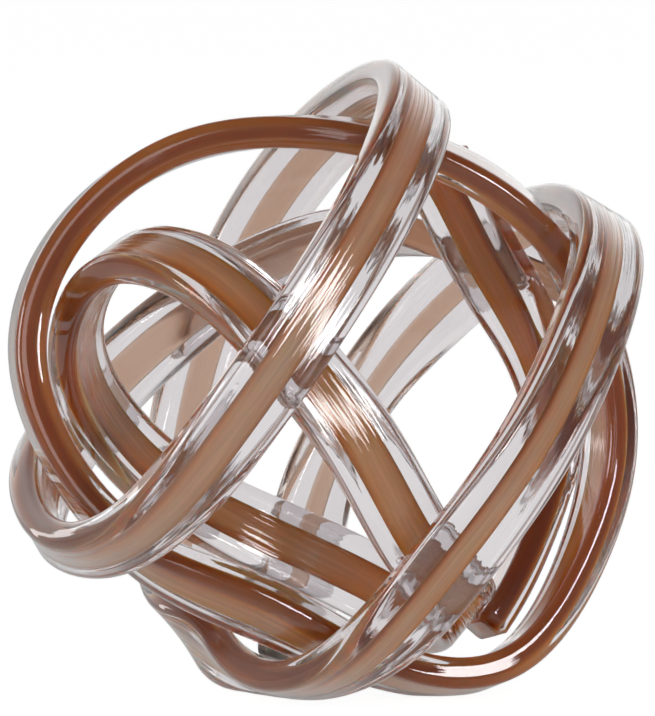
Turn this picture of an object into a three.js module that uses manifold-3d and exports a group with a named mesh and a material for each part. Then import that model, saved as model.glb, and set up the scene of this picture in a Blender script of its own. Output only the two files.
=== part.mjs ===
// Glass knot sculpture: four flat ribbons of clear glass, each cased over a copper-brown glass core,
// bent hot around one another into a ball that stands on three small ground flats.
// Millimetres, +Z up. The viewer of the front stands on the -Y side.

import * as THREE from 'three';
import { NURBSCurve } from 'three/addons/curves/NURBSCurve.js';
import { mergeVertices } from 'three/addons/utils/BufferGeometryUtils.js';
import Module from 'manifold-3d';

// Driving sizes
const HEART_RADIUS = 57; // from the middle of the ball to the middle of the innermost ribbons
const RIBBON_WIDTH = 19;
const RIBBON_THICKNESS = 8;
const RIBBON_CHAMFER = 1.6; // the fire-polished long edges
const SEAT_GAP = 0.5; // between two ribbons where one lies on the other
const CORE_THICKNESS = 4.2;
const CORE_CHAMFER = 1;
const CORE_CLEARANCE = 0.25; // all round, between a core and its casing
const COIL_CORE_WIDTH_FIRST = 9.4; // the coil's core is drawn thinner from its first end to its last
const COIL_CORE_WIDTH_LAST = 4.4;
const WIDE_RING_CORE_WIDTH = 8.6;
const INNER_RING_CORE_WIDTH = 9;
const BACK_ARC_CORE_WIDTH = 8.6;
const SEAM_GAP = 0.3; // at the butt seam where a ring's two ends meet
const GROUND_DEPTH = 0.8; // glass ground off under the foot that stands highest
const STATION_STEP = 9; // along a ribbon, between two of its cross-sections

// How far along a ribbon, each way, its flat side looks to follow the bend
const COIL_BEND_REACH = 31;
const WIDE_RING_BEND_REACH = 62;
const INNER_RING_BEND_REACH = 52;
const BACK_ARC_BEND_REACH = 38;

// A ribbon may also be turned, in degrees, about its own route. The turn is greatest at one share of
// its length and dies away within a reach each side. The wide ring's outer face comes round to the
// front at the left.
const NO_ROLL = { angle: 0, middle: 0.5, reach: 0.5 };
const WIDE_RING_ROLL = { angle: -11, middle: 0.77, reach: 0.15 };

// A ribbon that lies flat on another rises by its own thickness, the seat gap and the crown of the
// ball across its width, so one layer of the knot is this much further out than the layer below.
const CROWN = RIBBON_WIDTH ** 2 / (8 * (HEART_RADIUS + RIBBON_THICKNESS));
const LAYER_PITCH = RIBBON_THICKNESS + SEAT_GAP + CROWN;

// Each route is a list of guide points on the ball: longitude in degrees from the front towards the
// right, latitude in degrees upwards, and height above the heart in layers.
const STRANDS = {
  // From its hidden first end at the right of the back, round the left and up the front, over the
  // top and down the back, round the bottom and up the front again, and down the back to its foot.
  outer_coil: {
    closed: false,
    bendReach: COIL_BEND_REACH,
    roll: NO_ROLL,
    coreWidths: [COIL_CORE_WIDTH_FIRST, COIL_CORE_WIDTH_LAST],
    guides: [
      [123, 13, 2.3], [131, 16, 1.95], [146, 25, 1.25], [175, 27, 1.75], [-159, 15, 1.4],
      [-138, -1, 1.85], [-116, -15, 2.1], [-90, -23, 2.2], [-61, -28, 2], [-36, -19, 1.7],
      [-17, 1, 2], [-3, 21, 2.2], [13, 43, 2.05], [38, 63, 2.05], [105, 73, 2.15],
      [163, 61, 2.1], [-177, 40, 2.55], [-166, 19, 2.85], [-157, -3, 2.65], [-150, -26, 2.4],
      [-131, -49, 1.9], [-100, -64, 1.1], [-19, -69, 1.75], [13, -48, 1.9], [24, -25, 2.25],
      [39, -4, 2.35], [55, 13, 2.15], [78, 27, 2.3], [104, 32, 2.4], [132, 27, 2.8],
      [152, 15, 3.5], [171, -2, 2.45], [-178, -22, 2.15], [-172, -47, 2.3], [-168, -62, 1.6],
      [-163, -71, 1.35],
    ],
  },
  // Nearly upright and facing the front, under the coil; its seam lies under the coil's lowest turn.
  wide_ring: {
    closed: true,
    bendReach: WIDE_RING_BEND_REACH,
    roll: WIDE_RING_ROLL,
    coreWidths: [WIDE_RING_CORE_WIDTH, WIDE_RING_CORE_WIDTH],
    guides: [
      [-63, -39, 0.45], [-31, -61, -0.3], [38, -71, 1.25], [77, -56, 2.8], [93, -32, 1.85],
      [100, -10, 1.6], [101, 16, 1.25], [100, 42, 1.05], [108, 68, 0.75], [-134, 80, 0.8],
      [-98, 58, 1.5], [-91, 33, 1.95], [-86, 9, 2.05], [-78, -15, 1],
    ],
  },
  // The innermost loop, slanting from the upper left of the front to the lower right; its seam lies
  // low at the back, under the coil's foot.
  inner_ring: {
    closed: true,
    bendReach: INNER_RING_BEND_REACH,
    roll: NO_ROLL,
    coreWidths: [INNER_RING_CORE_WIDTH, INNER_RING_CORE_WIDTH],
    guides: [
      [124, -62, 0.8], [163, -51, 0.95], [-163, -41, 0.5], [-139, -27, 0.85], [-120, -8, 0.8],
      [-105, 9, 0.8], [-85, 28, 0.65], [-61, 38, 0.75], [-27, 33, 0.9], [-8, 18, 0.55],
      [9, -3, 0.85], [20, -24, 0.75], [43, -43, 0.9], [73, -56, 0.45],
    ],
  },
  // Down the right of the back, under the coil and inside the wide ring.
  back_arc: {
    closed: false,
    bendReach: BACK_ARC_BEND_REACH,
    roll: NO_ROLL,
    coreWidths: [BACK_ARC_CORE_WIDTH, BACK_ARC_CORE_WIDTH],
    guides: [
      [141, 53, 0.95], [139, 45, 0.8], [134, 30, 0.15], [126, 7, 0.7], [117, -14, 1],
      [108, -36, 0.75], [99, -49, 1], [95, -57, 1.2],
    ],
  },
};

// The three stretches, as shares of a strand's length, that the knot stands on.
const FEET = [
  { strand: 'outer_coil', from: 0.58, to: 0.72 },
  { strand: 'outer_coil', from: 0.92, to: 1 },
  { strand: 'wide_ring', from: 0, to: 0.3 },
];

const CURVE_DEGREE = 3;
const LENGTH_SAMPLES = 2000; // for even steps along a curve
const TANGENT_SHARE = 0.001; // of a route's length, each way, to find its direction

function onBall([longitude, latitude, layer]) {
  const radius = HEART_RADIUS + layer * LAYER_PITCH;
  const around = THREE.MathUtils.degToRad(longitude);
  const up = THREE.MathUtils.degToRad(latitude);
  return new THREE.Vector4(
    radius * Math.cos(up) * Math.sin(around),
    -radius * Math.cos(up) * Math.cos(around),
    radius * Math.sin(up),
    1,
  );
}

// A smooth curve drawn along the guide points; a closed one runs on through its first points again.
function routeOf({ guides, closed }) {
  const points = guides.map(onBall);
  if (closed) points.push(...points.slice(0, CURVE_DEGREE));
  const spans = points.length - CURVE_DEGREE;
  const knots = [];
  for (let i = -CURVE_DEGREE; i <= points.length; i += 1) {
    knots.push(closed ? i : THREE.MathUtils.clamp(i, 0, spans));
  }
  const curve = new NURBSCurve(CURVE_DEGREE, knots, points, CURVE_DEGREE, points.length);
  curve.arcLengthDivisions = LENGTH_SAMPLES;
  return curve;
}

// The point at one share of a route's length; a closed route runs on past its ends.
function pointAlong(curve, closed, share) {
  const within = closed ? THREE.MathUtils.euclideanModulo(share, 1) : THREE.MathUtils.clamp(share, 0, 1);
  return curve.getPointAt(within);
}

function rollAt({ angle, middle, reach }, share) {
  const off = THREE.MathUtils.clamp((share - middle) / reach, -1, 1);
  return THREE.MathUtils.degToRad(angle) * (1 + Math.cos(Math.PI * off)) / 2;
}

// Where a ribbon is at one share of its length: its middle, its outward side and its width's direction.
function stationAt(curve, { closed, roll }, reach, share) {
  const point = (s) => pointAlong(curve, closed, s);
  const middle = closed ? share : THREE.MathUtils.clamp(share, reach, 1 - reach);
  const along = point(share + TANGENT_SHARE).sub(point(share - TANGENT_SHARE)).normalize();
  const outward = point(middle).multiplyScalar(2).sub(point(middle - reach)).sub(point(middle + reach));
  outward.addScaledVector(along, -outward.dot(along)).normalize();
  outward.applyAxisAngle(along, rollAt(roll, share));
  const across = new THREE.Vector3().crossVectors(outward, along);
  return { share, place: point(share), outward, across };
}

// The cross-sections of a strand's whole length; a ring stops half a seam gap short at each end.
function stationsOf(strand) {
  const curve = routeOf(strand);
  const length = curve.getLength();
  const steps = Math.round(length / STATION_STEP);
  const endGap = strand.closed ? SEAM_GAP / 2 / length : 0;
  const stations = [];
  for (let i = 0; i <= steps; i += 1) {
    const share = THREE.MathUtils.lerp(endGap, 1 - endGap, i / steps);
    stations.push(stationAt(curve, strand, strand.bendReach / length, share));
  }
  return stations;
}

// A flat bar's section with its four corners taken off, as [across, outward] pairs.
function barSection(width, thickness, chamfer) {
  const side = width / 2;
  const face = thickness / 2;
  return [
    [side - chamfer, -face], [side, chamfer - face], [side, face - chamfer], [side - chamfer, face],
    [chamfer - side, face], [-side, face - chamfer], [-side, chamfer - face], [chamfer - side, -face],
  ];
}

function ringAt({ place, across, outward }, section) {
  return section.map(([a, b]) => place.clone().addScaledVector(across, a).addScaledVector(outward, b));
}

// The faces of a swept skin, outwards, or inwards for the wall of a tunnel.
function skinFaces(rings, corners, first, inwards) {
  const faces = [];
  for (let i = 0; i + 1 < rings; i += 1) {
    for (let k = 0; k < corners; k += 1) {
      const a = first + i * corners + k;
      const b = first + i * corners + ((k + 1) % corners);
      const quad = [a, b, b + corners, a, b + corners, a + corners];
      faces.push(...(inwards ? quad.reverse() : quad));
    }
  }
  return faces;
}

function endDisc(corners, first, towardsStart) {
  const faces = [];
  for (let k = 1; k + 1 < corners; k += 1) {
    const fan = [first, first + k, first + k + 1];
    faces.push(...(towardsStart ? fan.reverse() : fan));
  }
  return faces;
}

function endWasher(corners, outer, inner, towardsStart) {
  const faces = [];
  for (let k = 0; k < corners; k += 1) {
    const next = (k + 1) % corners;
    const quad = [outer + k, outer + next, inner + next, outer + k, inner + next, inner + k];
    faces.push(...(towardsStart ? quad.reverse() : quad));
  }
  return faces;
}

function solid(points, faces) {
  const geometry = new THREE.BufferGeometry().setFromPoints(points);
  geometry.setIndex(faces);
  return geometry;
}

function coreSectionAt(strand, share, clearance) {
  const width = THREE.MathUtils.lerp(...strand.coreWidths, share);
  return barSection(width + 2 * clearance, CORE_THICKNESS + 2 * clearance, CORE_CHAMFER);
}

// A solid coloured bar, flush with the ends of its casing.
function coreGeometry(strand, stations) {
  const points = stations.flatMap((s) => ringAt(s, coreSectionAt(strand, s.share, 0)));
  const corners = points.length / stations.length;
  const last = points.length - corners;
  return solid(points, [
    ...skinFaces(stations.length, corners, 0, false),
    ...endDisc(corners, 0, true),
    ...endDisc(corners, last, false),
  ]);
}

// The clear ribbon, with the tunnel that its core fills.
function casingGeometry(strand, stations) {
  const bar = barSection(RIBBON_WIDTH, RIBBON_THICKNESS, RIBBON_CHAMFER);
  const outside = stations.flatMap((s) => ringAt(s, bar));
  const tunnel = stations.flatMap((s) => ringAt(s, coreSectionAt(strand, s.share, CORE_CLEARANCE)));
  const inner = outside.length;
  const last = inner - bar.length;
  return solid([...outside, ...tunnel], [
    ...skinFaces(stations.length, bar.length, 0, false),
    ...skinFaces(stations.length, bar.length, inner, true),
    ...endWasher(bar.length, 0, inner, true),
    ...endWasher(bar.length, last, inner + last, false),
  ]);
}

// The lowest height that a stretch of a ribbon reaches.
function lowestOf(stations, { from, to }) {
  const bar = barSection(RIBBON_WIDTH, RIBBON_THICKNESS, RIBBON_CHAMFER);
  const stretch = stations.filter((s) => s.share >= from && s.share <= to);
  return Math.min(...stretch.flatMap((s) => ringAt(s, bar)).map((p) => p.z));
}

const wasm = await Module();
wasm.setup();

function toManifold(geometry) {
  const bare = geometry.clone();
  bare.deleteAttribute('normal');
  bare.deleteAttribute('uv');
  const merged = mergeVertices(bare);
  return new wasm.Manifold(new wasm.Mesh({
    numProp: 3,
    vertProperties: new Float32Array(merged.attributes.position.array),
    triVerts: new Uint32Array(merged.index.array),
  }));
}

function fromManifold(shape) {
  const mesh = shape.getMesh();
  const geometry = new THREE.BufferGeometry();
  geometry.setAttribute('position', new THREE.BufferAttribute(mesh.vertProperties, mesh.numProp));
  geometry.setIndex(new THREE.BufferAttribute(mesh.triVerts, 1));
  return geometry;
}

// Grinds a casing flat where it reaches below the surface that the knot stands on.
function groundFlat(geometry, surface) {
  geometry.computeBoundingSphere();
  const reach = 4 * geometry.boundingSphere.radius;
  const wheel = new THREE.BoxGeometry(reach, reach, reach);
  wheel.translate(0, 0, surface - reach / 2);
  return fromManifold(toManifold(geometry).subtract(toManifold(wheel)));
}

function clearGlass() {
  return new THREE.MeshStandardMaterial({
    color: 0xe8e4e6, roughness: 0.04, metalness: 0, transparent: true, opacity: 0.35,
  });
}

function copperGlass() {
  return new THREE.MeshStandardMaterial({ color: 0x8c6248, roughness: 0.15, metalness: 0 });
}

function buildKnot() {
  const stations = Object.fromEntries(Object.entries(STRANDS).map(([name, s]) => [name, stationsOf(s)]));
  const surface = Math.max(...FEET.map((foot) => lowestOf(stations[foot.strand], foot))) + GROUND_DEPTH;
  const knot = new THREE.Group();
  for (const [name, strand] of Object.entries(STRANDS)) {
    const casing = groundFlat(casingGeometry(strand, stations[name]), surface);
    const pieces = [
      [`${name}_casing`, casing, clearGlass()],
      [`${name}_core`, coreGeometry(strand, stations[name]), copperGlass()],
    ];
    for (const [label, geometry, material] of pieces) {
      const mesh = new THREE.Mesh(geometry, material);
      mesh.name = label;
      knot.add(mesh);
    }
  }
  const box = new THREE.Box3().setFromObject(knot);
  const middle = box.getCenter(new THREE.Vector3());
  knot.position.set(-middle.x, -middle.y, -surface);
  return knot;
}

export default buildKnot();
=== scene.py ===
import math

import bpy
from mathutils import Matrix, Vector
from mathutils.bvhtree import BVHTree


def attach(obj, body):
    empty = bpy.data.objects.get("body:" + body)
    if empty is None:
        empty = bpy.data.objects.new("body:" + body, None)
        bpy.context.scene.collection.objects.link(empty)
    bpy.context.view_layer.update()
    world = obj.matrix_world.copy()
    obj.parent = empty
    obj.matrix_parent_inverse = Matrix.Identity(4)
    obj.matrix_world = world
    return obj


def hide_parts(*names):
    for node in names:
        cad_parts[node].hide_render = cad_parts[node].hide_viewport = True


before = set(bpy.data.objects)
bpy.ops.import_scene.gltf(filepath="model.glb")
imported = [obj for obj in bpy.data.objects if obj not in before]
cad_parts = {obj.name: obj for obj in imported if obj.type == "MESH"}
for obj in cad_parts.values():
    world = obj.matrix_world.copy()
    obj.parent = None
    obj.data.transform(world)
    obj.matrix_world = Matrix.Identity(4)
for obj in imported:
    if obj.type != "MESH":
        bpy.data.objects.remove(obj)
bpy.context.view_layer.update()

MM = 0.001

# The outer coil
# One long flat ribbon of clear soda-lime glass, drawn hot over a copper-brown core and wound over
# everything else. It was bent while soft, so its flat side follows each bend, and its long edges
# are rounded by the flame. It is fused to the ribbons that it crosses.
BALL_CENTRE = Vector((0.078, -4.399, 70.794)) * MM
HEART_RADIUS = 57 * MM
LAYER_PITCH = 9.194 * MM
RIBBON_WIDTH = 19 * MM
RIBBON_THICKNESS = 8 * MM
RIBBON_EDGE_RADIUS = 2.3 * MM
FIRE_POLISH = 0.15 * MM
CORE_THICKNESS = 4.2 * MM
CORE_EDGE_RADIUS = 1.5 * MM
CORE_SETBACK = 0.4 * MM
END_ROUNDING = 1.2 * MM
STATION_STEP = 1.6 * MM
SECTION_STEP = 0.8 * MM
EDGE_FILLET_STEPS = 7
COIL_GUIDES = (
    (123, 13, 2.3), (131, 16, 1.95), (146, 25, 1.25), (175, 27, 1.75), (-159, 15, 1.4),
    (-138, -1, 1.85), (-116, -15, 2.1), (-90, -23, 2.2), (-61, -28, 2), (-36, -19, 1.7),
    (-17, 1, 2), (-3, 21, 2.2), (13, 43, 2.05), (38, 63, 2.05), (105, 73, 2.15),
    (163, 61, 2.1), (-177, 40, 2.55), (-166, 19, 2.85), (-157, -3, 2.65), (-150, -26, 2.4),
    (-131, -49, 1.9), (-100, -64, 1.1), (-19, -69, 1.75), (13, -48, 1.9), (24, -25, 2.25),
    (39, -4, 2.35), (55, 13, 2.15), (78, 27, 2.3), (104, 32, 2.4), (132, 27, 2.8),
    (152, 15, 3.5), (171, -2, 2.45), (-178, -22, 2.15), (-172, -47, 2.3), (-168, -62, 1.6),
    (-163, -71, 1.35),
)
COIL_BEND_REACH = 31 * MM
COIL_CORE_WIDTH = 9.4 * MM
COIL_CORE_LAST_SHARE = 4.4 / 9.4
CURVE_ORDER = 4
CURVE_RESOLUTION = 24


def add_node(tree, kind, links=None, **settings):
    """Adds one node, sets its options, and links or sets its inputs."""
    node = tree.nodes.new(kind)
    for option, value in settings.items():
        setattr(node, option, value)
    for socket, source in (links or {}).items():
        if isinstance(source, bpy.types.NodeSocket):
            tree.links.new(source, node.inputs[socket])
        else:
            node.inputs[socket].default_value = source
    return node


def linear(hex_colour):
    """Turns an sRGB hex colour into linear red, green, blue and alpha."""
    parts = [int(hex_colour[i:i + 2], 16) / 255 for i in (1, 3, 5)]
    return [c / 12.92 if c <= 0.04045 else ((c + 0.055) / 1.055) ** 2.4 for c in parts] + [1.0]


def on_ball(guide):
    """Puts a guide point, two angles and a layer, on the ball of the knot."""
    longitude, latitude = math.radians(guide[0]), math.radians(guide[1])
    radius = HEART_RADIUS + guide[2] * LAYER_PITCH
    flat = radius * math.cos(latitude)
    offset = Vector((flat * math.sin(longitude), -flat * math.cos(longitude), radius * math.sin(latitude)))
    return BALL_CENTRE + offset


def swept_bar_tree(closed):
    """Sweeps a rounded flat bar along a route, with its flat side towards the outside of each bend."""
    tree = bpy.data.node_groups.new("swept ring" if closed else "swept bar", "GeometryNodeTree")
    tree.interface.new_socket("Geometry", in_out="OUTPUT", socket_type="NodeSocketGeometry")
    tree.interface.new_socket("Geometry", in_out="INPUT", socket_type="NodeSocketGeometry")
    for name in (
        "Width", "Thickness", "Edge radius", "Bend reach", "Roll", "Roll middle", "Roll reach",
        "Last width share", "End setback",
    ):
        tree.interface.new_socket(name, in_out="INPUT", socket_type="NodeSocketFloat")
    tree.interface.new_socket("Material", in_out="INPUT", socket_type="NodeSocketMaterial")
    given = add_node(tree, "NodeGroupInput").outputs

    route = given["Geometry"]
    length = add_node(tree, "GeometryNodeCurveLength", {"Curve": route}).outputs["Length"]
    reach = add_node(
        tree, "ShaderNodeMath", {0: given["Bend reach"], 1: length}, operation="DIVIDE",
    ).outputs[0]
    share = add_node(tree, "GeometryNodeSplineParameter").outputs["Factor"]
    middle = share
    if not closed:
        last = add_node(
            tree, "ShaderNodeMath", {0: length, 1: given["End setback"]}, operation="SUBTRACT",
        ).outputs[0]
        route = add_node(
            tree, "GeometryNodeTrimCurve",
            {"Curve": route, 4: given["End setback"], 5: last}, mode="LENGTH",
        ).outputs["Curve"]
        highest = add_node(tree, "ShaderNodeMath", {0: 1.0, 1: reach}, operation="SUBTRACT").outputs[0]
        middle = add_node(
            tree, "ShaderNodeClamp", {"Value": share, "Min": reach, "Max": highest},
        ).outputs[0]
    stations = add_node(
        tree, "GeometryNodeResampleCurve", {"Curve": route, "Length": STATION_STEP}, mode="LENGTH",
    ).outputs["Curve"]

    places = []
    for step in (-1.0, 0.0, 1.0):
        looked = add_node(
            tree, "ShaderNodeMath", {0: reach, 1: step, 2: middle}, operation="MULTIPLY_ADD",
        ).outputs[0]
        if closed:
            looked = add_node(tree, "ShaderNodeMath", {0: looked}, operation="FRACT").outputs[0]
        places.append(add_node(
            tree, "GeometryNodeSampleCurve", {"Curves": route, "Factor": looked}, mode="FACTOR",
        ).outputs["Position"])
    before, here, after = places
    ends = add_node(tree, "ShaderNodeVectorMath", {0: before, 1: after}, operation="ADD").outputs["Vector"]
    bulge = add_node(
        tree, "ShaderNodeVectorMath", {0: ends, 1: (-0.5, -0.5, -0.5), 2: here}, operation="MULTIPLY_ADD",
    ).outputs["Vector"]
    along = add_node(tree, "GeometryNodeInputTangent").outputs["Tangent"]
    leaning = add_node(
        tree, "ShaderNodeVectorMath", {0: bulge, 1: along}, operation="PROJECT",
    ).outputs["Vector"]
    upright = add_node(
        tree, "ShaderNodeVectorMath", {0: bulge, 1: leaning}, operation="SUBTRACT",
    ).outputs["Vector"]
    upright = add_node(tree, "ShaderNodeVectorMath", {0: upright}, operation="NORMALIZE").outputs["Vector"]
    off = add_node(
        tree, "ShaderNodeMath", {0: share, 1: given["Roll middle"]}, operation="SUBTRACT",
    ).outputs[0]
    off = add_node(tree, "ShaderNodeMath", {0: off}, operation="ABSOLUTE").outputs[0]
    turn = add_node(
        tree, "ShaderNodeMapRange",
        {"Value": off, "From Max": given["Roll reach"], "To Min": given["Roll"], "To Max": 0.0},
        interpolation_type="SMOOTHSTEP",
    ).outputs["Result"]
    outward = add_node(
        tree, "ShaderNodeVectorRotate", {"Vector": upright, "Axis": along, "Angle": turn},
        rotation_type="AXIS_ANGLE",
    ).outputs["Vector"]
    across = add_node(
        tree, "ShaderNodeVectorMath", {0: outward, 1: along}, operation="CROSS_PRODUCT",
    ).outputs["Vector"]
    centre = add_node(tree, "GeometryNodeInputPosition").outputs["Position"]
    for name, value, kind in (
        ("centre", centre, "FLOAT_VECTOR"), ("outward", outward, "FLOAT_VECTOR"),
        ("across", across, "FLOAT_VECTOR"), ("along", along, "FLOAT_VECTOR"), ("share", share, "FLOAT"),
    ):
        stations = add_node(
            tree, "GeometryNodeStoreNamedAttribute", {"Geometry": stations, "Name": name, "Value": value},
            data_type=kind, domain="POINT",
        ).outputs["Geometry"]

    outline = add_node(
        tree, "GeometryNodeCurvePrimitiveQuadrilateral",
        {"Width": given["Width"], "Height": given["Thickness"]}, mode="RECTANGLE",
    ).outputs["Curve"]
    outline = add_node(
        tree, "GeometryNodeFilletCurve",
        {"Curve": outline, "Count": EDGE_FILLET_STEPS, "Radius": given["Edge radius"]}, mode="POLY",
    ).outputs["Curve"]
    outline = add_node(
        tree, "GeometryNodeResampleCurve", {"Curve": outline, "Length": SECTION_STEP}, mode="LENGTH",
    ).outputs["Curve"]
    outline = add_node(
        tree, "GeometryNodeStoreNamedAttribute", {"Geometry": outline, "Name": "profile", "Value": centre},
        data_type="FLOAT_VECTOR", domain="POINT",
    ).outputs["Geometry"]

    skin = add_node(
        tree, "GeometryNodeCurveToMesh",
        {"Curve": stations, "Profile Curve": outline, "Fill Caps": not closed},
    ).outputs["Mesh"]
    kept = {
        name: add_node(
            tree, "GeometryNodeInputNamedAttribute", {"Name": name}, data_type=kind,
        ).outputs["Attribute"]
        for name, kind in (
            ("profile", "FLOAT_VECTOR"), ("centre", "FLOAT_VECTOR"), ("outward", "FLOAT_VECTOR"),
            ("across", "FLOAT_VECTOR"), ("share", "FLOAT"),
        )
    }
    thinner = add_node(
        tree, "ShaderNodeMapRange",
        {"Value": kept["share"], "To Min": 1.0, "To Max": given["Last width share"]},
    ).outputs["Result"]
    narrowing = add_node(tree, "ShaderNodeCombineXYZ", {"X": thinner, "Y": 1.0}).outputs["Vector"]
    corner = add_node(
        tree, "ShaderNodeVectorMath", {0: kept["profile"], 1: narrowing}, operation="MULTIPLY",
    ).outputs["Vector"]
    if not closed:
        to_end = add_node(
            tree, "ShaderNodeMath", {0: kept["share"], 1: 0.5}, operation="PINGPONG",
        ).outputs[0]
        to_end = add_node(tree, "ShaderNodeMath", {0: to_end, 1: length}, operation="MULTIPLY").outputs[0]
        taken = add_node(
            tree, "ShaderNodeMath", {0: -2 * END_ROUNDING, 1: given["Thickness"]}, operation="DIVIDE",
        ).outputs[0]
        smallest = add_node(tree, "ShaderNodeMath", {0: taken, 1: 1.0}, operation="ADD").outputs[0]
        trim = add_node(
            tree, "ShaderNodeMapRange",
            {"Value": to_end, "From Max": END_ROUNDING, "To Min": smallest, "To Max": 1.0},
        ).outputs["Result"]
        corner = add_node(
            tree, "ShaderNodeVectorMath", {"Vector": corner, "Scale": trim}, operation="SCALE",
        ).outputs["Vector"]
    corner = add_node(tree, "ShaderNodeSeparateXYZ", {"Vector": corner}).outputs
    spot = kept["centre"]
    for direction, axis in (("across", "X"), ("outward", "Y")):
        offset = add_node(
            tree, "ShaderNodeVectorMath",
            {"Vector": kept[direction], "Scale": corner[axis]}, operation="SCALE",
        ).outputs["Vector"]
        spot = add_node(
            tree, "ShaderNodeVectorMath", {0: spot, 1: offset}, operation="ADD",
        ).outputs["Vector"]
    ground = add_node(
        tree, "ShaderNodeVectorMath", {0: spot, 1: (-1.0, -1.0, 0.0)}, operation="MAXIMUM",
    ).outputs["Vector"]
    skin = add_node(
        tree, "GeometryNodeSetPosition", {"Geometry": skin, "Position": ground},
    ).outputs["Geometry"]
    sideways = add_node(tree, "ShaderNodeSeparateXYZ", {"Vector": kept["profile"]}).outputs["X"]
    sideways = add_node(tree, "ShaderNodeMath", {0: sideways}, operation="ABSOLUTE").outputs[0]
    half = add_node(tree, "ShaderNodeMath", {0: given["Width"], 1: 0.5}, operation="MULTIPLY").outputs[0]
    rim = add_node(tree, "ShaderNodeMath", {0: sideways, 1: half}, operation="DIVIDE").outputs[0]
    skin = add_node(
        tree, "GeometryNodeStoreNamedAttribute", {"Geometry": skin, "Name": "rim", "Value": rim},
        data_type="FLOAT", domain="POINT",
    ).outputs["Geometry"]
    for name in ("centre", "across", "share"):
        skin = add_node(
            tree, "GeometryNodeRemoveAttribute", {"Geometry": skin, "Name": name},
        ).outputs["Geometry"]
    skin = add_node(tree, "GeometryNodeSetShadeSmooth", {"Geometry": skin}).outputs["Geometry"]
    skin = add_node(tree, "GeometryNodeRealizeInstances", {"Geometry": skin}).outputs["Geometry"]
    skin = add_node(
        tree, "GeometryNodeSetMaterial", {"Geometry": skin, "Material": given["Material"]},
    ).outputs["Geometry"]
    add_node(tree, "NodeGroupOutput", {"Geometry": skin})
    return tree


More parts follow.
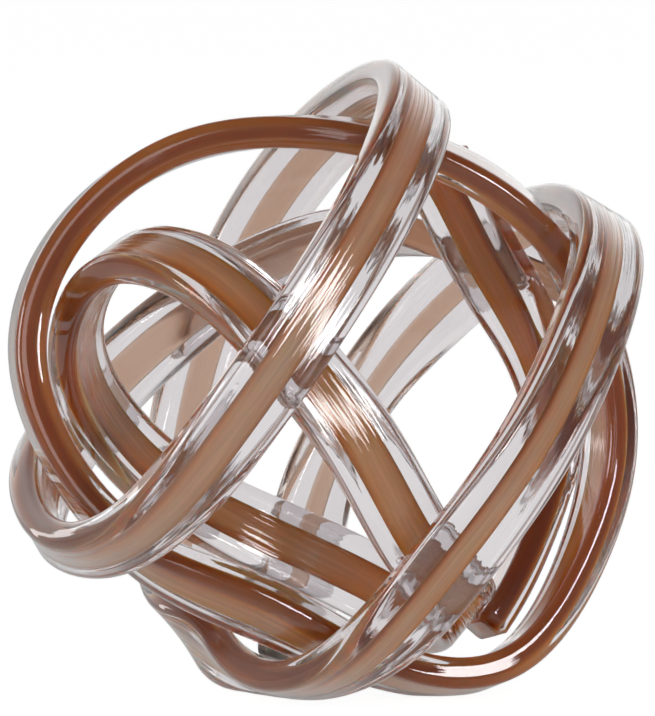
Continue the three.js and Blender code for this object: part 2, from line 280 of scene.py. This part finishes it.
def drawn_clear_glass():
    """Soda-lime glass, IOR 1.52, fire-polished to roughness 0 to 0.05, puckered where it is fused and
    frosted on its sawn ends. Its skin, a coat of the same glass, carries draw lines along the flat sides
    that fray the ends of the highlights. They show only faintly in the body below."""
    material = bpy.data.materials.new("drawn clear soda-lime glass")
    material.use_nodes = True
    tree = material.node_tree
    tree.nodes.clear()
    draw_line_width = 0.45 * MM
    drift_length = 80 * MM
    crinkle_width = 1.4 * MM
    edge_facing, flat_facing = 0.8, 1.0
    edge_tilt, flat_tilt = 0.04, 0.9
    smooth_line, hazy_line = 0.3, 0.8
    side_facing, end_facing = 0.6, 0.9
    haze_roughness, sawn_roughness, skin_roughness = 0.05, 0.55, 0.02
    glass_ior = 1.52
    body_share = (0.2, 0.2, 0.2)
    body_shine = linear("#595959")
    profile = add_node(tree, "ShaderNodeAttribute", attribute_name="profile").outputs["Vector"]
    along = add_node(tree, "ShaderNodeAttribute", attribute_name="along").outputs["Vector"]
    outward = add_node(tree, "ShaderNodeAttribute", attribute_name="outward").outputs["Vector"]
    fused = add_node(tree, "ShaderNodeAttribute", attribute_name="fused").outputs["Fac"]
    place = add_node(tree, "ShaderNodeTexCoord").outputs["Object"]
    normal = add_node(tree, "ShaderNodeNewGeometry").outputs["Normal"]

    fine = add_node(
        tree, "ShaderNodeVectorMath", {"Vector": profile, "Scale": 1 / draw_line_width}, operation="SCALE",
    ).outputs["Vector"]
    slow = add_node(
        tree, "ShaderNodeVectorMath", {"Vector": place, "Scale": 1 / drift_length}, operation="SCALE",
    ).outputs["Vector"]
    spot = add_node(tree, "ShaderNodeVectorMath", {0: fine, 1: slow}, operation="ADD").outputs["Vector"]
    lines = add_node(
        tree, "ShaderNodeTexNoise", {"Vector": spot, "Scale": 1.0, "Detail": 2.0, "Roughness": 0.5},
    )
    lean = add_node(
        tree, "ShaderNodeMath", {0: lines.outputs["Fac"], 1: 0.5}, operation="SUBTRACT",
    ).outputs[0]
    facing = add_node(
        tree, "ShaderNodeVectorMath", {0: normal, 1: outward}, operation="DOT_PRODUCT",
    ).outputs["Value"]
    facing = add_node(tree, "ShaderNodeMath", {0: facing}, operation="ABSOLUTE").outputs[0]
    flat_side = add_node(
        tree, "ShaderNodeMapRange",
        {
            "Value": facing, "From Min": edge_facing, "From Max": flat_facing,
            "To Min": edge_tilt, "To Max": flat_tilt,
        },
    ).outputs["Result"]
    tip = add_node(tree, "ShaderNodeMath", {0: lean, 1: flat_side}, operation="MULTIPLY").outputs[0]
    tipped = add_node(
        tree, "ShaderNodeVectorMath", {"Vector": along, "Scale": tip}, operation="SCALE",
    ).outputs["Vector"]
    knobs = add_node(
        tree, "ShaderNodeVectorMath", {"Vector": place, "Scale": 1 / crinkle_width}, operation="SCALE",
    ).outputs["Vector"]
    crinkles = add_node(
        tree, "ShaderNodeTexNoise", {"Vector": knobs, "Scale": 1.0, "Detail": 1.0, "Roughness": 0.5},
    ).outputs["Color"]
    uneven = add_node(
        tree, "ShaderNodeVectorMath", {0: crinkles, 1: (0.5, 0.5, 0.5)}, operation="SUBTRACT",
    ).outputs["Vector"]
    puckered = add_node(
        tree, "ShaderNodeVectorMath", {"Vector": uneven, "Scale": fused}, operation="SCALE",
    ).outputs["Vector"]
    unlined = add_node(
        tree, "ShaderNodeVectorMath", {0: normal, 1: puckered}, operation="ADD",
    ).outputs["Vector"]
    skin = add_node(
        tree, "ShaderNodeVectorMath", {0: unlined, 1: tipped}, operation="ADD",
    ).outputs["Vector"]
    skin = add_node(tree, "ShaderNodeVectorMath", {0: skin}, operation="NORMALIZE").outputs["Vector"]
    body = add_node(
        tree, "ShaderNodeVectorMath", {0: tipped, 1: body_share, 2: unlined}, operation="MULTIPLY_ADD",
    ).outputs["Vector"]
    body = add_node(tree, "ShaderNodeVectorMath", {0: body}, operation="NORMALIZE").outputs["Vector"]

    haze = add_node(
        tree, "ShaderNodeMapRange",
        {
            "Value": lines.outputs["Fac"], "From Min": smooth_line, "From Max": hazy_line,
            "To Min": 0.0, "To Max": haze_roughness,
        },
    ).outputs["Result"]
    endways = add_node(
        tree, "ShaderNodeVectorMath", {0: normal, 1: along}, operation="DOT_PRODUCT",
    ).outputs["Value"]
    endways = add_node(tree, "ShaderNodeMath", {0: endways}, operation="ABSOLUTE").outputs[0]
    frost = add_node(
        tree, "ShaderNodeMapRange",
        {
            "Value": endways, "From Min": side_facing, "From Max": end_facing,
            "To Min": 0.0, "To Max": sawn_roughness,
        },
    ).outputs["Result"]
    rough = add_node(tree, "ShaderNodeMath", {0: haze, 1: frost}, operation="MAXIMUM").outputs[0]
    shader = add_node(
        tree, "ShaderNodeBsdfPrincipled",
        {
            "Base Color": linear("#d9d5d7"), "Roughness": rough, "IOR": glass_ior,
            "Transmission Weight": 1.0, "Normal": body, "Specular Tint": body_shine,
            "Coat Weight": 1.0, "Coat Roughness": skin_roughness, "Coat IOR": glass_ior, "Coat Normal": skin,
        },
    )
    add_node(tree, "ShaderNodeOutputMaterial", {"Surface": shader.outputs["BSDF"]})
    return material


def copper_brown_glass(draw, veil_and_edge_shade_stops, left_painted_light=0.0, far_backlight_clearness=0.0):
    """Copper-brown opal glass inside the clear ribbon, IOR 1.1 against the glass around it and roughness
    0.5: pale in the middle, partly a painted veil of reflected light, and darker at its long edges, which is
    painted shade, with streaks along its length. It can be paler towards the left, painted light from the
    left, and it can be paler and clearer towards the far side of the knot, painted light that stands in for
    the backdrop's light shining through the far passes."""
    material = bpy.data.materials.new(f"copper-brown opal glass, {draw}")
    material.use_nodes = True
    tree = material.node_tree
    tree.nodes.clear()
    streak_width = 1.2 * MM
    cloud_length = 25 * MM
    edge_wander = 0.2
    scatter_length = 25 * MM
    scatter_share = (1.0, 0.45, 0.22)
    stain_density = 220.0
    painted_light_left, painted_light_right = -10 * MM, 25 * MM
    backlight_near, backlight_far = 18 * MM, 45 * MM
    dark_noise, pale_noise = 0.3, 0.7
    darkest_streak, palest_streak = 0.82, 1.12
    profile = add_node(tree, "ShaderNodeAttribute", attribute_name="profile").outputs["Vector"]
    rim = add_node(tree, "ShaderNodeAttribute", attribute_name="rim").outputs["Fac"]
    place = add_node(tree, "ShaderNodeTexCoord").outputs["Object"]
    fine = add_node(
        tree, "ShaderNodeVectorMath", {"Vector": profile, "Scale": 1 / streak_width}, operation="SCALE",
    ).outputs["Vector"]
    slow = add_node(
        tree, "ShaderNodeVectorMath", {"Vector": place, "Scale": 1 / cloud_length}, operation="SCALE",
    ).outputs["Vector"]
    spot = add_node(tree, "ShaderNodeVectorMath", {0: fine, 1: slow}, operation="ADD").outputs["Vector"]
    streaks = add_node(
        tree, "ShaderNodeTexNoise", {"Vector": spot, "Scale": 1.0, "Detail": 3.0, "Roughness": 0.6},
    ).outputs["Fac"]
    shifted = add_node(
        tree, "ShaderNodeMath", {0: streaks, 1: edge_wander, 2: -edge_wander / 2}, operation="MULTIPLY_ADD",
    ).outputs[0]
    band = add_node(tree, "ShaderNodeMath", {0: rim, 1: shifted}, operation="ADD").outputs[0]
    # Painted light across the core: a pale middle, partly a painted veil of reflected light, darkening to
    # painted shade at the long edges.
    veil_and_edge_shade_ramp = add_node(tree, "ShaderNodeValToRGB", {"Fac": band})
    veil_and_edge_shade_ramp.color_ramp.elements.remove(veil_and_edge_shade_ramp.color_ramp.elements[1])
    veil_and_edge_shade_ramp.color_ramp.elements[0].color = linear(veil_and_edge_shade_stops[0][1])
    for position, colour in veil_and_edge_shade_stops[1:]:
        veil_and_edge_shade_ramp.color_ramp.elements.new(position).color = linear(colour)
    strength = add_node(
        tree, "ShaderNodeMapRange",
        {
            "Value": streaks, "From Min": dark_noise, "From Max": pale_noise,
            "To Min": darkest_streak, "To Max": palest_streak,
        },
    ).outputs["Result"]
    streaked = add_node(
        tree, "ShaderNodeHueSaturation", {"Color": veil_and_edge_shade_ramp.outputs["Color"], "Value": strength},
    ).outputs["Color"]
    spread = add_node(tree, "ShaderNodeSeparateXYZ", {"Vector": place}).outputs
    # Paler towards the left: painted light from the left.
    painted_left_light = add_node(
        tree, "ShaderNodeMapRange",
        {
            "Value": spread["X"], "From Min": painted_light_left, "From Max": painted_light_right,
            "To Min": left_painted_light, "To Max": 0.0,
        },
    ).outputs["Result"]
    veiled_and_left_lit = add_node(
        tree, "ShaderNodeMix", {0: painted_left_light, 6: streaked, 7: linear("#f6d9c9")}, data_type="RGBA",
    ).outputs[2]
    # Paler and clearer towards the far side of the knot: painted light that stands in for the backdrop's
    # light shining through the far passes.
    backlight_clearness = add_node(
        tree, "ShaderNodeMapRange",
        {
            "Value": spread["Y"], "From Min": backlight_near, "From Max": backlight_far,
            "To Min": 0.0, "To Max": far_backlight_clearness,
        },
        interpolation_type="SMOOTHSTEP",
    ).outputs["Result"]
    tint = add_node(
        tree, "ShaderNodeMix", {0: backlight_clearness, 6: veiled_and_left_lit, 7: linear("#f6ece4")}, data_type="RGBA",
    ).outputs[2]
    shader = add_node(
        tree, "ShaderNodeBsdfPrincipled",
        {
            "Base Color": tint, "Roughness": 0.5, "IOR": 1.1, "Specular IOR Level": 0.0,
            "Transmission Weight": backlight_clearness, "Subsurface Weight": 1.0,
            "Subsurface Radius": scatter_share, "Subsurface Scale": scatter_length,
        },
    )
    stain = add_node(
        tree, "ShaderNodeVolumeAbsorption", {"Color": linear("#d6a86f"), "Density": stain_density},
    )
    add_node(
        tree, "ShaderNodeOutputMaterial",
        {"Surface": shader.outputs["BSDF"], "Volume": stain.outputs["Volume"]},
    )
    return material


BAR_TREES = {closed: swept_bar_tree(closed) for closed in (False, True)}
CASINGS = []
CLEAR_GLASS = drawn_clear_glass()
# Its darker last stops are painted shade at the long edges; its paler left is painted light from the left,
# and its pale, clear far side stands in for light from behind.
COIL_COPPER = copper_brown_glass(
    "pale draw", ((0.0, "#eab69c"), (0.62, "#dfa283"), (0.84, "#b57049"), (1.0, "#6b3b1e")),
    left_painted_light=0.15, far_backlight_clearness=1.0,
)


def glass_bar(name, guides, closed, sizes, material):
    """Makes one swept bar of glass as a plain mesh at the origin."""
    data = bpy.data.curves.new(name + "_route", "CURVE")
    data.dimensions = "3D"
    spline = data.splines.new("NURBS")
    spline.points.add(len(guides) - 1)
    for point, guide in zip(spline.points, guides):
        point.co = (*on_ball(guide), 1.0)
    spline.order_u = CURVE_ORDER
    spline.use_cyclic_u = closed
    spline.use_endpoint_u = not closed
    spline.resolution_u = CURVE_RESOLUTION
    route = bpy.data.objects.new(name + "_route", data)
    bpy.context.scene.collection.objects.link(route)
    tree = BAR_TREES[closed]
    modifier = route.modifiers.new("sweep", "NODES")
    modifier.node_group = tree
    inputs = {s.name: s.identifier for s in tree.interface.items_tree if s.in_out == "INPUT"}
    for label, value in {**sizes, "Material": material}.items():
        modifier[inputs[label]] = value
    mesh = bpy.data.meshes.new_from_object(route.evaluated_get(bpy.context.evaluated_depsgraph_get()))
    bpy.data.objects.remove(route)
    bpy.data.curves.remove(data)
    mesh.name = name
    if not mesh.materials:
        mesh.materials.append(material)
    for face in mesh.polygons:
        face.use_smooth = len(face.vertices) <= 4
    piece = bpy.data.objects.new(name, mesh)
    bpy.context.scene.collection.objects.link(piece)
    return piece


def cased_ribbon(
    strand, guides, closed, bend_reach, core_glass, core_width, last_share=1.0, roll=(0, 0.5, 0.5),
):
    """Makes a strand's clear casing and its core, and puts each in its node's place."""
    path = {
        "Bend reach": bend_reach,
        "Roll": math.radians(roll[0]), "Roll middle": roll[1], "Roll reach": roll[2],
    }
    casing_sizes = {
        "Width": RIBBON_WIDTH - 2 * FIRE_POLISH, "Thickness": RIBBON_THICKNESS - 2 * FIRE_POLISH,
        "Edge radius": RIBBON_EDGE_RADIUS, "Last width share": 1.0, "End setback": 0.0,
    }
    core_sizes = {
        "Width": core_width, "Thickness": CORE_THICKNESS,
        "Edge radius": CORE_EDGE_RADIUS, "Last width share": last_share, "End setback": CORE_SETBACK,
    }
    parts = (
        ("casing", casing_sizes, CLEAR_GLASS, "clear_glass"),
        ("core", core_sizes, core_glass, "copper_glass"),
    )
    for part, sizes, material, slot in parts:
        piece = glass_bar(f"{strand}_{part}_glass", guides, closed, {**path, **sizes}, material)
        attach(piece, "root")
        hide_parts(f"{strand}_{part}")
        if part == "casing":
            CASINGS.append(piece)


cased_ribbon(
    "outer_coil", COIL_GUIDES, False, COIL_BEND_REACH, COIL_COPPER, COIL_CORE_WIDTH, COIL_CORE_LAST_SHARE,
)

# The wide ring
# A closed loop of the same cased ribbon, nearly upright and facing the front. Its outer side turns
# to the front at the left. Its ends are fused into one another, and it carries the coil where they cross.
WIDE_RING_GUIDES = (
    (-63, -39, 0.45), (-31, -61, -0.3), (38, -71, 1.25), (77, -56, 2.8), (93, -32, 1.85),
    (100, -10, 1.6), (101, 16, 1.25), (100, 42, 1.05), (108, 68, 0.75), (-134, 80, 0.8),
    (-98, 58, 1.5), (-91, 33, 1.95), (-86, 9, 2.05), (-78, -15, 1),
)
WIDE_RING_BEND_REACH = 62 * MM
WIDE_RING_ROLL = (-11, 0.77, 0.15)
WIDE_RING_CORE_WIDTH = 8.6 * MM
# Its darker last stops are painted shade at the long edges.
RING_COPPER = copper_brown_glass(
    "amber draw", ((0.0, "#e6ae88"), (0.6, "#dc9f70"), (0.82, "#c68048"), (1.0, "#8c5029")),
)

cased_ribbon(
    "wide_ring", WIDE_RING_GUIDES, True, WIDE_RING_BEND_REACH, RING_COPPER, WIDE_RING_CORE_WIDTH,
    roll=WIDE_RING_ROLL,
)

# The inner ring
# The innermost closed loop of cased ribbon, slanting from the upper left of the front to the lower
# right. The other strands were laid over it and fused to it.
INNER_RING_GUIDES = (
    (124, -62, 0.8), (163, -51, 0.95), (-163, -41, 0.5), (-139, -27, 0.85), (-120, -8, 0.8),
    (-105, 9, 0.8), (-85, 28, 0.65), (-61, 38, 0.75), (-27, 33, 0.9), (-8, 18, 0.55),
    (9, -3, 0.85), (20, -24, 0.75), (43, -43, 0.9), (73, -56, 0.45),
)
INNER_RING_BEND_REACH = 52 * MM
INNER_RING_CORE_WIDTH = 9 * MM

cased_ribbon(
    "inner_ring", INNER_RING_GUIDES, True, INNER_RING_BEND_REACH, RING_COPPER, INNER_RING_CORE_WIDTH,
)

# The back arc
# A short open length of cased ribbon down the right of the back, fused under the coil at both ends.
BACK_ARC_GUIDES = (
    (141, 53, 0.95), (139, 45, 0.8), (134, 30, 0.15), (126, 7, 0.7), (117, -14, 1),
    (108, -36, 0.75), (99, -49, 1), (95, -57, 1.2),
)
BACK_ARC_BEND_REACH = 38 * MM
BACK_ARC_CORE_WIDTH = 8.6 * MM
# Its darker last stops are painted shade at the long edges.
ARC_COPPER = copper_brown_glass(
    "dark amber draw", ((0.0, "#dc9762"), (0.6, "#cf874e"), (0.82, "#b06832"), (1.0, "#7c4420")),
)

cased_ribbon("back_arc", BACK_ARC_GUIDES, False, BACK_ARC_BEND_REACH, ARC_COPPER, BACK_ARC_CORE_WIDTH)

# The fused crossings
# Where a ribbon was laid hot on another strand, the two skins stuck and set in a small crinkled patch.
# Each casing carries how close it lies to another strand, and its glass puckers there.
FUSED_CLOSE = 0.9 * MM
FUSED_FAR = 1.9 * MM
PUCKER = 1.3

skins = {piece.name: BVHTree.FromObject(piece, bpy.context.evaluated_depsgraph_get()) for piece in CASINGS}
for piece in CASINGS:
    others = [skin for name, skin in skins.items() if name != piece.name]
    marks = piece.data.attributes.new("fused", "FLOAT", "POINT")
    for vertex in piece.data.vertices:
        gaps = [skin.find_nearest(vertex.co, FUSED_FAR)[3] for skin in others]
        nearest = min((gap for gap in gaps if gap is not None), default=FUSED_FAR)
        closeness = min(1.0, (FUSED_FAR - nearest) / (FUSED_FAR - FUSED_CLOSE))
        marks.data[vertex.index].value = PUCKER * closeness

# The stage
# A pale paper floor that runs back out of sight, white where nothing shades it. A small bright soft box
# and a broad dim one stand near the camera, a strip and a fill at the left, and a long lens looks at the
# knot from a little above its middle.
FLOOR_HALF = 4.0
FLOOR_DROP = 0.1 * MM
PAPER_GLOW = 0.94
PAPER_COLOUR = "#e8e8e8"
PAPER_SHADE_COLOUR = "#767676"
SHINE_SEES = 0.25

floor_mesh = bpy.data.meshes.new("paper_floor")
corners = [(x * FLOOR_HALF, y * FLOOR_HALF, -FLOOR_DROP) for x, y in ((-1, -1), (1, -1), (1, 1), (-1, 1))]
floor_mesh.from_pydata(corners, [], [(0, 1, 2, 3)])
floor = bpy.data.objects.new("paper_floor", floor_mesh)
bpy.context.scene.collection.objects.link(floor)
paper = bpy.data.materials.new("white background paper")
paper.use_nodes = True
paper_tree = paper.node_tree
paper_tree.nodes.clear()
path = add_node(paper_tree, "ShaderNodeLightPath").outputs
seen = add_node(
    paper_tree, "ShaderNodeMath", {0: path["Is Glossy Ray"], 1: SHINE_SEES}, operation="MULTIPLY",
).outputs[0]
for ray in ("Is Camera Ray", "Is Transmission Ray"):
    seen = add_node(paper_tree, "ShaderNodeMath", {0: seen, 1: path[ray]}, operation="MAXIMUM").outputs[0]
matte = add_node(paper_tree, "ShaderNodeBsdfDiffuse", {"Color": linear(PAPER_COLOUR)}).outputs["BSDF"]
faint = add_node(paper_tree, "ShaderNodeBsdfDiffuse", {"Color": linear(PAPER_SHADE_COLOUR)}).outputs["BSDF"]
glow = add_node(paper_tree, "ShaderNodeEmission", {"Strength": PAPER_GLOW}).outputs["Emission"]
white = add_node(paper_tree, "ShaderNodeAddShader", {0: faint, 1: glow}).outputs["Shader"]
mix = add_node(paper_tree, "ShaderNodeMixShader", {"Fac": seen, 1: matte, 2: white}).outputs["Shader"]
add_node(paper_tree, "ShaderNodeOutputMaterial", {"Surface": mix})
floor_mesh.materials.append(paper)

ROOM_LEVEL = 0.36
BACKDROP_LEVEL = 1.05
GLASS_SEES = 0.5
CEILING_SHARE = 0.35
BACKDROP_EDGES = (0.45, 0.85)
CEILING_EDGES = (0.25, 0.75)
STUDIO_COLOUR = "#ffffff"

world = bpy.data.worlds.new("soft studio")
bpy.context.scene.world = world
world.use_nodes = True
sky = world.node_tree
sky.nodes.clear()
heading = add_node(sky, "ShaderNodeTexCoord").outputs["Generated"]
way = add_node(sky, "ShaderNodeSeparateXYZ", {"Vector": heading}).outputs
rays = add_node(sky, "ShaderNodeLightPath").outputs
behind = add_node(
    sky, "ShaderNodeMapRange",
    {"Value": way["Y"], "From Min": BACKDROP_EDGES[0], "From Max": BACKDROP_EDGES[1]},
    interpolation_type="SMOOTHSTEP",
).outputs["Result"]
through = add_node(
    sky, "ShaderNodeMath", {0: rays["Is Transmission Ray"], 1: GLASS_SEES}, operation="MULTIPLY",
).outputs[0]
shown = add_node(sky, "ShaderNodeMath", {0: behind, 1: through}, operation="MAXIMUM").outputs[0]
level = add_node(
    sky, "ShaderNodeMapRange", {"Value": shown, "To Min": ROOM_LEVEL, "To Max": BACKDROP_LEVEL},
).outputs["Result"]
overhead = add_node(
    sky, "ShaderNodeMapRange",
    {
        "Value": way["Z"], "From Min": CEILING_EDGES[0], "From Max": CEILING_EDGES[1],
        "To Min": 1.0, "To Max": CEILING_SHARE,
    },
    interpolation_type="SMOOTHSTEP",
).outputs["Result"]
dimmed = add_node(sky, "ShaderNodeMath", {0: level, 1: overhead}, operation="MULTIPLY").outputs[0]
around = add_node(
    sky, "ShaderNodeBackground", {"Color": linear(STUDIO_COLOUR), "Strength": dimmed},
).outputs["Background"]
backdrop = add_node(
    sky, "ShaderNodeBackground", {"Color": linear(STUDIO_COLOUR), "Strength": 1.0},
).outputs["Background"]
air = add_node(
    sky, "ShaderNodeMixShader", {"Fac": rays["Is Camera Ray"], 1: around, 2: backdrop},
).outputs["Shader"]
add_node(sky, "ShaderNodeOutputWorld", {"Surface": air})

SOFT_BOXES = (
    ("front_soft_box", (0.43, -0.84, 0.35), 1.5, 0.36, 0.36, 18.0),
    ("front_fill", (-0.25, -0.95, 0.2), 1.6, 1.0, 0.7, 2.6),
    ("left_strip", (-0.75, 0.6, 0.12), 1.2, 0.08, 0.5, 2.5),
    ("left_fill", (-0.95, -0.3, 0.2), 1.3, 0.5, 0.5, 7.0),
)
for label, heading_from, distance, box_width, box_height, brightness in SOFT_BOXES:
    lamp = bpy.data.lights.new(label, "AREA")
    lamp.shape = "RECTANGLE"
    lamp.size = box_width
    lamp.size_y = box_height
    lamp.energy = brightness * math.pi * box_width * box_height
    stand = bpy.data.objects.new(label, lamp)
    direction = Vector(heading_from).normalized()
    stand.location = BALL_CENTRE + direction * distance
    stand.rotation_euler = direction.to_track_quat("Z", "Y").to_euler()
    stand.visible_camera = False
    bpy.context.scene.collection.objects.link(stand)

CAMERA_RISE = math.radians(8)
CAMERA_DISTANCE = 6.0
VIEW_HEIGHT = 170.05 * MM
AIM_RIGHT = 0.5 * MM
AIM_UP = 8.8 * MM
SENSOR = 36.0
LIGHT_BOUNCES = 24

towards_viewer = Vector((0, -math.cos(CAMERA_RISE), math.sin(CAMERA_RISE)))
view_up = Vector((0, math.sin(CAMERA_RISE), math.cos(CAMERA_RISE)))
aim = BALL_CENTRE + Vector((AIM_RIGHT, 0, 0)) + view_up * AIM_UP
lens = bpy.data.cameras.new("camera")
lens.sensor_width = SENSOR
lens.lens = SENSOR * CAMERA_DISTANCE / VIEW_HEIGHT
camera = bpy.data.objects.new("camera", lens)
camera.location = aim + towards_viewer * CAMERA_DISTANCE
camera.rotation_euler = towards_viewer.to_track_quat("Z", "Y").to_euler()
bpy.context.scene.collection.objects.link(camera)
bpy.context.scene.camera = camera
bpy.context.scene.view_settings.view_transform = "Standard"
bpy.context.scene.cycles.max_bounces = LIGHT_BOUNCES
bpy.context.scene.cycles.transmission_bounces = LIGHT_BOUNCES
bpy.context.scene.cycles.glossy_bounces = LIGHT_BOUNCES
